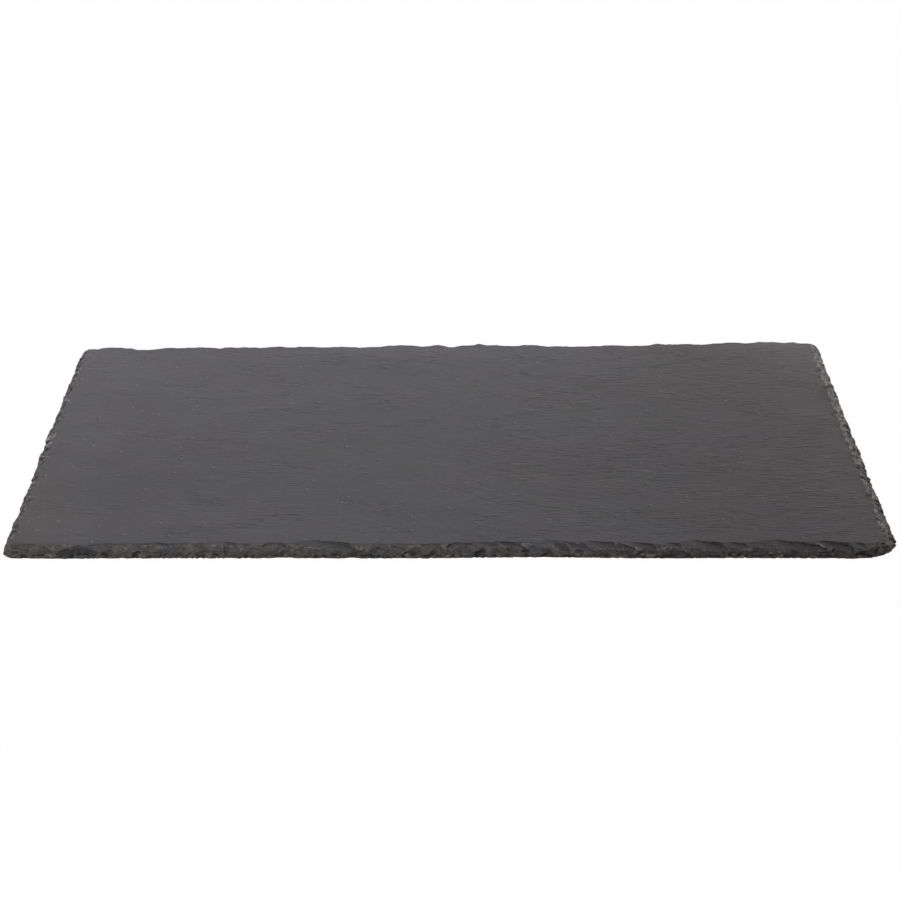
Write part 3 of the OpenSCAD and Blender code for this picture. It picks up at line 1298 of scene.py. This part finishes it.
    def flaked(self, below: Array, arris: Array) -> Array:
        """Inset of the flakes' floors and risers.

        At a share u of the way from its start to its end, a flake's riser stands its reach
        times (1 - u)^0.8 inside the arris. Its floor lies below the face by its drop times u
        plus its dip times the distance outwards from where it starts. So at a given depth the
        inset is where the floor has that depth, but no more than the riser's. Over the last
        fifth of its length the riser runs out through the wall.

        Args:
            below: Depths below the face in millimetres, one row each.
            arris: Inset of the plain arris in metres, one for each station.

        Returns:
            The inset in metres, one column for each station, nothing where there is no flake.
        """
        inset = np.zeros((len(below), len(arris)))
        dice = np.random.default_rng(self.flake_seed)
        for side, edge in enumerate(EDGES):
            half = self.lengths[side] / MM / 2
            loose = []
            for _ in range(edge.loose_flakes):
                start, span = dice.uniform(-half, half), dice.uniform(3, 9)
                way = 1 if dice.uniform() < edge.onward else -1
                loose.append(Flake(start, start + way * span, dice.uniform(0.4, 1.8), dice.uniform(0.3, 1.1)))
            for flake in edge.flakes + tuple(loose):
                gone = self.offset(side, flake.start) / (flake.end - flake.start)
                near = np.flatnonzero((gone > -1.5) & (gone < 1))
                inner = arris[near] / MM + flake.reach
                riser = inner - flake.reach * (1 - np.clip(1 - gone[near], 0, 1) ** 0.8)
                riser = riser - self.run_out * smooth(0.8, 1, gone[near])
                floor = inner - (below - flake.drop * gone[near]) / flake.dip
                inset[:, near] = np.maximum(inset[:, near], np.clip(floor, 0, riser) * MM)
        return inset

    def sheeted(self, share: Array) -> Array:
        """How far each sheet of stone stands back: noise along the edge, new for every sheet.

        The sheets lean a little, so that their edges run down to the right along the front.

        Args:
            share: Heights, as shares of the thickness, one row each.

        Returns:
            An inset in metres, which moves quickly from one sheet to the next.
        """
        x, y = self.plain_line.T
        wander = self.wander.layered(x, y, 4.0 * share)
        number = share * self.sheets + 0.35 * wander + 0.3 * (x + y) / MM
        sheet = np.floor(number)
        here, above = (self.sheet_lines.layered(x, y, 5.3 * (sheet + step)) for step in (0, 1))
        strength = (0.07 + 0.18 * smooth(0.3, 1, share)) * MM
        return strength * (here + smooth(0.75, 1, number - sheet) * (above - here))

    def jagged(self, share: Array) -> Array:
        """The small bumps of the outline: noise along the edge that changes slowly with the height.

        Args:
            share: Heights, as shares of the thickness, one row each.

        Returns:
            An inset in metres.
        """
        x, y = self.plain_line.T
        bumps = self.bumps.layered(x, y, 1.5 * share)
        return self.per_edge(edge.jag * MM for edge in EDGES) * np.maximum(bumps, -0.4)

    @property
    def plain_line(self) -> Array:
        """The plain outline, which noise is read along."""
        cuts = np.full((4, 2), self.corner_round)
        return Outline(self.length, self.depth, self.slant).points(self.at, cuts)

    def cuts(self, share: Array) -> Array:
        """Corner cuts for lines at these heights: only the lower front right corner was knocked off.

        Args:
            share: Heights, as shares of the thickness.

        Returns:
            For each height and corner, the cut's length on the edge that ends there and on the next.
        """
        cuts = np.full((len(share), 4, 2), self.corner_round)
        cuts[:, : Side.BACK] = self.front_corners
        cuts[:, Side.RIGHT] += fall(0.0, 0.62, share)[:, None] * self.knocked
        return cuts

    def wall(self) -> dict[str, Array]:
        """The wall's section at every station, worked out at many heights.

        Returns:
            For each name one row a height and one column a station: "x", "y" and "z" in metres,
            "share" of the thickness, "tone", and "split", which is 1 where a flake came off.
        """
        share = np.linspace(0, 1, self.levels)[:, None]
        plain = [np.interp(share[:, 0], *np.array(edge.section).T) * MM for edge in EDGES]
        inset = np.array([self.per_edge(insets) for insets in zip(*plain)])
        depth, tone = self.chipped(share)
        flakes = self.flaked((1 - share) * self.thickness / MM, inset[-1] + 0.3 * MM)
        split = (flakes > inset + depth).astype(float)
        inset = np.maximum(inset + depth, flakes)
        inset = inset + self.sheeted(share) + self.waves() + self.jagged(share)
        base = Outline(self.length, self.depth, self.slant).points(self.at, self.cuts(share[:, 0]))
        ahead = np.roll(base, -3, 1) - np.roll(base, 3, 1)
        ahead /= np.linalg.norm(ahead, axis=2, keepdims=True)
        whole = np.broadcast_to(share, inset.shape)
        return {
            "x": base[..., 0] - inset * ahead[..., 1],
            "y": base[..., 1] + inset * ahead[..., 0],
            "z": self.low[2] + self.thickness * whole,
            "share": whole,
            "tone": tone,
            "split": split,
        }

    def drawn(self, wall: dict[str, Array]) -> dict[str, Array]:
        """The wall's values at the rings, spread evenly over each station's section.

        The rings follow the mean of the height and of the way along the section, both as shares,
        so that floors and risers both get their points.

        Args:
            wall: Values with one row a height and one column a station.

        Returns:
            The values with one row a ring.
        """
        place = np.stack([wall[key] for key in ("x", "y", "z")], -1)
        way = np.cumsum(np.linalg.norm(np.diff(place, axis=0), axis=2), 0)
        way = np.concatenate([np.zeros((1, way.shape[1])), way])
        way = (way / way[-1] + wall["share"]) / 2
        column = np.arange(way.shape[1])
        keys = (way + 2 * column).T.ravel()
        wanted = np.linspace(0, 1, self.rings)[:, None] + 2 * column
        return {key: np.interp(wanted, keys, values.T.ravel()) for key, values in wall.items()}

    @staticmethod
    def normals(points: Array) -> Array:
        """Outward directions of the wall, from the differences between its neighbouring points.

        Args:
            points: The points, one row a ring and one column a station.

        Returns:
            One unit vector for each point.
        """
        along = np.roll(points, -1, 1) - np.roll(points, 1, 1)
        up = np.gradient(points, axis=0)
        across = np.cross(along, up)
        return across / np.linalg.norm(across, axis=2, keepdims=True)

    @staticmethod
    def blurred(points: Array, steps: int, rings: int) -> Array:
        """Means of the points over some stations and rings to both sides.

        Args:
            points: The points, one row a ring and one column a station.
            steps: Stations to each side.
            rings: Rings to each side.

        Returns:
            One mean for each point.
        """
        total = sum(np.roll(points, step, 1) for step in range(-steps, steps + 1)) / (2 * steps + 1)
        row = np.arange(len(points))
        near = (np.clip(row + ring, 0, len(row) - 1) for ring in range(-rings, rings + 1))
        return sum(total[rows] for rows in near) / (2 * rings + 1)

    def roughened(self, points: Array, share: Array, split: Array) -> Array:
        """The wall with broken facets, crumbs and a granular lower rim.

        Each point moves along its normal by facets of random slope, a fine noise and, low down, a
        coarser one. The floors of the flakes keep nearly smooth.

        Args:
            points: The drawn points.
            share: Their heights, as shares of the thickness.
            split: 1 where a flake came off.

        Returns:
            The moved points.
        """
        normals = self.normals(self.blurred(points, 2, 1))
        x, y, z = np.moveaxis(points, -1, 0)
        clean = smooth(0.86, 0.97, normals[..., 2]) * split
        crush = self.per_edge(edge.crush for edge in EDGES)
        move = 0.34 * self.broad.facets(x, y, z)
        move = move + (0.05 + 0.1 * crush) * self.facets.facets(x, y, z)
        move = move + (0.02 + 0.14 * crush) * self.crumbs.layered(x, y, z)
        move = move + 0.1 * fall(0.12, 0.45, share) * self.lumps.layered(x, y, z)
        fade = np.minimum(1, np.minimum(share, 1 - share) / 0.05 + 0.4)
        return points + (move * (1 - 0.75 * clean) * fade * MM)[..., None] * normals

    def build_wall(self) -> tuple[Array, dict[str, Array]]:
        """The points of the wall, ring by ring from below, and the values that its material reads.

        Returns:
            The points, one row a ring and one column a station, and for each name its values.
        """
        drawn = self.drawn(self.wall())
        points = np.stack([drawn[key] for key in ("x", "y", "z")], -1)
        points = self.roughened(points, drawn["share"], drawn["split"])
        points[..., 2] = np.clip(points[..., 2], self.low[2], self.high[2])
        points[0, :, 2] = self.low[2]
        points = self.fitted(points)
        values = self.wall_values(points, drawn)
        lip = self.lips.layered(points[0, :, 0], points[0, :, 1], 0.5)
        points[0, :, 2] += 0.05 * MM * (1 + np.clip(lip, -1, 1))
        return points, values

    def wall_values(self, points: Array, drawn: dict[str, Array]) -> dict[str, Array]:
        """The values that the material reads on the wall.

        Args:
            points: The finished points of the wall.
            drawn: The section's values at them.

        Returns:
            For each name one number a point: "tone" for how pale it is, with painted shade that
            darkens it low down; "ridge", how far it stands out from its neighbours; "lip", 1 in a
            band low down; "crush", how speckled it is; "warmth"; and "broken", which falls to
            nothing at the arris.
        """
        normals = self.normals(points)
        fine, broad = (
            np.sum((points - self.blurred(points, steps, rings)) * normals, -1) / MM
            for steps, rings in ((3, 1), (9, 3))
        )
        share = drawn["share"]
        clean = smooth(0.8, 0.95, normals[..., 2]) * drawn["split"]
        crush = np.broadcast_to(self.per_edge(edge.crush for edge in EDGES), share.shape)
        tone = 0.6 * drawn["tone"] + self.per_edge(edge.tone for edge in EDGES)
        # Painted shade: these two lines darken the lower, steeper part of the wall, where less light falls,
        # and do so more strongly on the crushed side edges.
        tone = tone - 0.8 * crush * fall(0.25, 0.6, share)
        tone = tone - 0.35 * (1 - crush) * fall(0.5, 0.85, share)
        fade = fall(0, 1, (share - 0.93 + 0.05 * crush) / (0.07 + 0.05 * crush))
        return {
            "tone": tone,
            "ridge": np.clip(fine / 0.06 + broad / 0.5, -1, 1),
            "lip": smooth(0.05, 0.2, share) * fall(0.28, 0.42, share),
            "crush": crush,
            "warmth": self.per_edge(edge.warmth for edge in EDGES) + 0.4 * (0.45 - share),
            "broken": (1 - 0.7 * clean) * fade * (1.4 - 0.5 * share),
        }

    def fitted(self, points: Array) -> Array:
        """Moves and stretches the points a trace, so that they fill the box of the node.

        Args:
            points: The points of the wall.

        Returns:
            The moved points.
        """
        self.raw_low = points[..., :2].reshape(-1, 2).min(0)
        self.raw_high = points[..., :2].reshape(-1, 2).max(0)
        return np.concatenate([self.placed(points[..., :2]), points[..., 2:]], -1)

    def placed(self, flat: Array) -> Array:
        """Plan points moved as the wall was, to fill the box of the node."""
        scale = (self.high[:2] - self.low[:2]) / (self.raw_high - self.raw_low)
        return self.low[:2] + (flat - self.raw_low) * scale

    def relief(self, flat: Array) -> Array:
        """Depth of the riven upper face below a level plane, before its highest point is found.

        It adds a slow swell, long ripples of the cleavage along the board, and thin steps where
        one sheet gives way to the next.

        Args:
            flat: Points in plan.

        Returns:
            A depth for each point, in metres.
        """
        x, y = flat[..., 0], flat[..., 1]
        laid = y + self.lean * x
        sheet = 3.2 * self.stair.layered(x, laid)
        step = np.floor(sheet)
        stair = step + smooth(0.4, 0.6, sheet - step)
        return (0.1 * self.swell.layered(x, y) + 0.03 * self.ripple.layered(x, laid) + 0.04 * stair) * MM

    def under_relief(self, flat: Array) -> Array:
        """Height of the riven lower face above its lowest level, nothing where a foot is stuck on.

        It is a slow swell, cut off below, that fades to nothing towards the middle of each foot.

        Args:
            flat: Points in plan.

        Returns:
            A height for each point, in metres.
        """
        x, y = flat[..., 0], flat[..., 1]
        swell = 1 + self.under_swell.layered(x, y) / 1.8
        away = np.full(x.shape, np.inf)
        for place in PLACES:
            low, high = (np.array(corner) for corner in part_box("adhesive_disc_" + place))
            middle = (low + high) / 2
            away = np.minimum(away, np.hypot(x - middle[0], y - middle[1]))
        return 0.09 * MM * np.clip(swell, 0, None) * smooth(*self.foot_seat, away)

    def face_border(self, at: Stations, inset: float) -> Array:
        """A plain line round a face, well inside its edges."""
        line = Outline(self.length, self.depth, self.slant, (inset,) * 4)
        return self.placed(line.points(at, np.full((4, 2), self.corner_round)))

    def face_grid(self, columns: int, rows: int, inset: float) -> Array:
        """A grid of points over a face, blended from the four sides of its border.

        Args:
            columns: Cells along the slab.
            rows: Cells across it.
            inset: How far the border lies inside the nominal edges.

        Returns:
            An array of rows from the front to the back, each of points from left to right.
        """
        at = Stations.of((columns, rows, columns, rows))
        ring = self.face_border(at, inset)
        ring = np.concatenate([ring, ring[:1]])
        front, right = ring[: columns + 1], ring[columns : columns + rows + 1]
        back = ring[columns + rows : 2 * columns + rows + 1][::-1]
        left = ring[2 * columns + rows :][::-1]
        u = np.linspace(0, 1, columns + 1)[None, :, None]
        v = np.linspace(0, 1, rows + 1)[:, None, None]
        sides = (1 - v) * front[None] + v * back[None] + (1 - u) * left[:, None] + u * right[:, None]
        corners = (1 - v) * ((1 - u) * front[0] + u * front[-1]) + v * ((1 - u) * back[0] + u * back[-1])
        return sides - corners

    def face_faces(self, columns: int, rows: int, outer: int, inner: int, up: bool) -> list[Array]:
        """Faces of a face's grid, and of the fan that joins it to the finer ring outside it.

        Args:
            columns: Cells along the slab.
            rows: Cells across it.
            outer: Number of the ring's first vertex.
            inner: Number of the grid's first vertex.
            up: Whether the face looks up.

        Returns:
            The quads of the grid, and two sets of triangles of the fan.
        """
        v, u = np.meshgrid(np.arange(rows), np.arange(columns), indexing="ij")
        wide = columns + 1
        corner = inner + v * wide + u
        quads = np.stack([corner, corner + 1, corner + wide + 1, corner + wide], -1).reshape(-1, 4)
        across, along = np.arange(rows), np.arange(columns)
        border = np.concatenate([
            along, across * wide + columns, rows * wide + columns - along, (rows - across) * wide,
        ]) + inner
        spans = np.array([edge.stations for edge in EDGES]) // (columns, rows, columns, rows)
        span = np.repeat(spans, (columns, rows, columns, rows))
        first = np.concatenate([[0], np.cumsum(span)])
        total = first[-1]
        owner = np.repeat(np.arange(len(border)), span)
        local = np.arange(total) - first[owner]
        owner = (owner + (local >= span[owner] // 2)) % len(border)
        fine = np.arange(total)
        rim = np.stack([outer + fine, outer + (fine + 1) % total, border[owner]], -1)
        middle = outer + first[:-1] + span // 2
        fan = np.stack([border, middle, np.roll(border, -1)], -1)
        parts = [quads, rim, fan]
        return parts if up else [part[:, ::-1] for part in parts]

    def build(self) -> bpy.types.Object:
        """Makes the slab as one closed mesh with the values that its material reads.

        Each face is a grid inside a ring of finer points that runs with the wall. The upper face lies
        below the top of the node's box by its relief, and the wall is squeezed to end at its arris.

        Returns:
            The slab.
        """
        wall, values = self.build_wall()
        total = len(self.around)
        arris, foot_line = wall[-1, :, :2], wall[0, :, :2]
        inner = self.face_border(self.at, self.margin - 3 * MM)
        border = [arris + share * (inner - arris) for share in (0.12, 0.45, 1.0)]
        grid = self.face_grid(self.columns, self.rows, self.margin).reshape(-1, 2)
        tops = [arris, *border, grid]
        depths = [self.relief(flat) for flat in tops]
        least = min(depth.min() for depth in depths)
        depths = [depth - least for depth in depths]
        squeeze = 1 - depths[0] / self.thickness
        wall[..., 2] = self.low[2] + (wall[..., 2] - self.low[2]) * squeeze
        wall[-1, :, 2] = self.high[2] - depths[0]
        top = [np.column_stack([flat, self.high[2] - depth]) for flat, depth in zip(tops[1:], depths[1:])]
        columns, rows = self.columns // self.coarse[0], self.rows // self.coarse[1]
        under_ring = foot_line + 0.3 * (inner - foot_line)
        under_grid = self.face_grid(columns, rows, self.margin).reshape(-1, 2)
        under = [
            np.column_stack([flat, self.low[2] + self.under_relief(flat)])
            for flat in (under_grid, under_ring)
        ]
        points = np.concatenate([*under, wall.reshape(-1, 3), *top])
        start = len(under_grid)
        rings = 1 + len(wall) + len(border)
        last = start + (rings - 1) * total
        faces = [ring_faces(rings, total, start)]
        faces += self.face_faces(columns, rows, start, 0, False)
        faces += self.face_faces(self.columns, self.rows, last, last + total, True)
        slab = build_mesh("dressed_slate_slab", points, faces, math.radians(self.crease))
        for name, value in values.items():
            whole = np.zeros(len(points))
            whole[start + total : start + total + value.size] = value.ravel()
            store_values(slab, name, whole)
        return slab


# The feet


@dataclass
class RoundPad(Dressed):
    """A turned piece under the slab, which fills the box of its node.

    Attributes:
        node: The node that it stands for.
        name: The name of the piece.
        profile: Its half section from the middle of the underside to the middle of the top, as
            shares of its radius and its height.
        slot: Its material slot; not used.
        sides: Points round it.
        crease: Its faces that meet at more than this angle, in degrees, keep a sharp edge.
    """

    node: str
    name: str
    profile: Array
    slot: Slot
    sides: int = 96
    crease: float = 50.0

    def build(self) -> bpy.types.Object:
        """Turns the profile round the middle of the node's box, with a pole at each end.

        Returns:
            The piece.
        """
        low, high = (np.array(corner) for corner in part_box(self.node))
        middle, half = (low + high) / 2, (high - low) / 2
        radius, height = self.profile[1:-1].T
        turn = np.arange(self.sides) * 2 * np.pi / self.sides
        x = middle[0] + half[0] * radius[:, None] * np.cos(turn)
        y = middle[1] + half[1] * radius[:, None] * np.sin(turn)
        z = np.broadcast_to(low[2] + 2 * half[2] * height[:, None], x.shape)
        rings = np.stack([x, y, z], -1).reshape(-1, 3)
        ends = self.profile[[0, -1], 1]
        poles = np.array([(middle[0], middle[1], low[2] + 2 * half[2] * share) for share in ends])
        count, i = len(radius), np.arange(self.sides)
        j = (i + 1) % self.sides
        pole, lid = count * self.sides, (count - 1) * self.sides
        under = np.stack([np.full(self.sides, pole), j, i], -1)
        over = np.stack([np.full(self.sides, pole + 1), lid + i, lid + j], -1)
        faces = [ring_faces(count, self.sides), under, over]
        return build_mesh(self.name, np.concatenate([rings, poles]), faces, math.radians(self.crease))


@dataclass(frozen=True)
class FootShape:
    """The section of a moulded foot: a rolled rim, a barrelled side and a shallow dished underside.

    Attributes:
        roll: Radius of the rolled rims, as a share of the foot's radius.
        height_roll: The same as a share of its height.
        bulge: How far the side stands out in its middle, as a share of its radius.
        dish: Depth of the dished underside, as a share of its height.
    """

    roll: float = 0.07
    height_roll: float = 0.2
    bulge: float = 0.02
    dish: float = 0.08

    def profile(self) -> Array:
        """The half section: a dish, quarter circles at both rims and half a sine wave up the side.

        Returns:
            Pairs of radius and height, as shares, from the middle of the underside on.
        """
        quarter = np.linspace(0, np.pi / 2, 6)
        climb = np.linspace(0, 1, 9)[1:-1]
        edge, lift = 1 - self.bulge, self.height_roll
        low = edge - self.roll + self.roll * np.sin(quarter), lift * (1 - np.cos(quarter))
        side = edge + self.bulge * np.sin(np.pi * climb), lift + climb * (1 - 1.5 * lift)
        high = edge - self.roll / 2 * (1 - np.cos(quarter)), 1 - lift / 2 * (1 - np.sin(quarter))
        dished = [(0, 1), (0.3, 1), (0.68, 0.9), (0.74, 0.3), (0.78, 0)] * np.array([1, self.dish])
        lid = [(0.6, 1), (0, 1)]
        return np.concatenate([dished, *(np.column_stack(part) for part in (low, side, high)), lid])


@dataclass(frozen=True)
class TapeShape:
    """The section of a disc of adhesive tape, pressed so that its cut edge bulges a little.

    Attributes:
        bulge: How far the edge stands out in its middle, as a share of the radius.
    """

    bulge: float = 0.02

    def profile(self) -> Array:
        """The half section: flat faces and half a sine wave at the edge.

        Returns:
            Pairs of radius and height, as shares, from the middle of the underside on.
        """
        climb = np.linspace(0, 1, 7)
        side = np.column_stack([1 - self.bulge * (1 - np.sin(np.pi * climb)), climb])
        return np.concatenate([[(0, 0), (0.6, 0)], side, [(0.6, 1), (0, 1)]])


# The studio


@dataclass(frozen=True)
class Lamp:
    """One soft lamp.

    Attributes:
        name: Its name.
        place: Where it hangs.
        size: The length and width of its panel.
        watts: Its power.
    """

    name: str
    place: Triple
    size: tuple[float, float]
    watts: float

    def hang(self) -> None:
        """Hangs the lamp, turned to the middle of the table."""
        data = bpy.data.lights.new(self.name, "AREA")
        data.shape = "RECTANGLE"
        data.size, data.size_y = self.size
        data.energy = self.watts
        lamp = bpy.data.objects.new(self.name, data)
        lamp.location = self.place
        x, y, z = (-part for part in self.place)
        lamp.rotation_euler = (math.atan2(math.hypot(x, y), -z), 0, math.atan2(y, x) - math.pi / 2)
        bpy.context.scene.collection.objects.link(lamp)


@dataclass(frozen=True)
class Studio:
    """Camera, pale floor, soft lamps and a white surround.

    Attributes:
        eye: Where the camera stands.
        pitch: How far it looks down, in degrees.
        lens: Its focal length in millimetres.
        sensor: Width of its sensor in millimetres.
        reach: The nearest and the farthest that it sees.
        floor_half: Half the width of the floor.
        floor_level: Albedo of the floor.
        floor_roughness: Roughness of the floor.
        floor_glow: Share of the floor's brightness towards the camera that is plain white.
        ambient: Strength of the surround as a light.
        lamps: The lamps.
    """

    eye: Triple = (-0.41 * MM, -825.15 * MM, 347.71 * MM)
    pitch: float = 22.869
    lens: float = 96.96
    sensor: float = 36.0
    reach: tuple[float, float] = (0.01, 50.0)
    floor_half: float = 6.0
    floor_level: float = 0.7
    floor_roughness: float = 0.9
    floor_glow: float = 0.988
    ambient: float = 0.04
    lamps: tuple[Lamp, ...] = (
        Lamp("key", (-0.28, 0.2, 0.45), (0.5, 0.4), 1.1),
        Lamp("rim", (0.05, 0.42, 0.2), (0.9, 0.15), 1.5),
        Lamp("fill", (-0.8, -1.0, 0.9), (1.0, 1.0), 10.0),
    )

    def camera(self) -> None:
        """Sets the camera up at the photograph's angle."""
        data = bpy.data.cameras.new("camera")
        data.lens, data.sensor_width = self.lens, self.sensor
        data.clip_start, data.clip_end = self.reach
        camera = bpy.data.objects.new("camera", data)
        camera.location = self.eye
        camera.rotation_euler = (math.radians(90 - self.pitch), 0, 0)
        bpy.context.scene.collection.objects.link(camera)
        bpy.context.scene.camera = camera

    def surround(self) -> None:
        """Makes the world white to the eye and a plain soft light to the object."""
        world = bpy.data.worlds.new("surround")
        world.use_nodes = True
        g = Graph(world.node_tree)
        light = g.tree.nodes["Background"]
        g.put(light.inputs["Color"], grey(1.0))
        g.put(light.inputs["Strength"], self.ambient)
        white = g.add("ShaderNodeBackground", {"Color": grey(1.0), "Strength": 1.0})
        g.show("World Output", g.seen(), light, white)
        bpy.context.scene.world = world

    def floor(self) -> None:
        """Lays the pale floor, which keeps the shadow but looks almost white."""
        half = self.floor_half
        corners = np.array([(-half, -half, 0), (half, -half, 0), (half, half, 0), (-half, half, 0)])
        floor = build_mesh("floor", corners, [np.array([[0, 1, 2, 3]])], math.radians(30))
        g = MaterialGraph("floor_paper")
        g.finish(grey(self.floor_level), self.floor_roughness)
        white = g.add("ShaderNodeEmission", {"Color": grey(1.0), "Strength": 1.0})
        g.show("Material Output", g.seen() * self.floor_glow, g.shader, white)
        floor.data.materials.append(g.material)

    def set_up(self) -> None:
        """Sets up everything that isn't part of the object."""
        self.camera()
        self.surround()
        self.floor()
        for lamp in self.lamps:
            lamp.hang()
        bpy.context.scene.view_settings.view_transform = "Standard"


def main() -> None:
    """Builds the board piece by piece."""
    logging.basicConfig(level=logging.INFO, format="%(name)s: %(message)s")
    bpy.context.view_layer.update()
    Studio().set_up()
    slab = SlateSlab().dress(SlateFinish().material())
    log.info("%s: %d vertices, %d faces", slab.name, len(slab.data.vertices), len(slab.data.polygons))
    rubber, tape = RubberFinish().material(), AdhesiveFinish().material()
    for place in PLACES:
        foot = RoundPad("rubber_foot_" + place, "moulded_foot_" + place, FootShape().profile(), Slot.RUBBER)
        disc = RoundPad("adhesive_disc_" + place, "tape_disc_" + place, TapeShape().profile(), Slot.ADHESIVE)
        for pad, material in ((foot, rubber), (disc, tape)):
            piece = pad.dress(material)
            log.info("%s: %d faces", piece.name, len(piece.data.polygons))


if __name__ == "__main__":
    main()
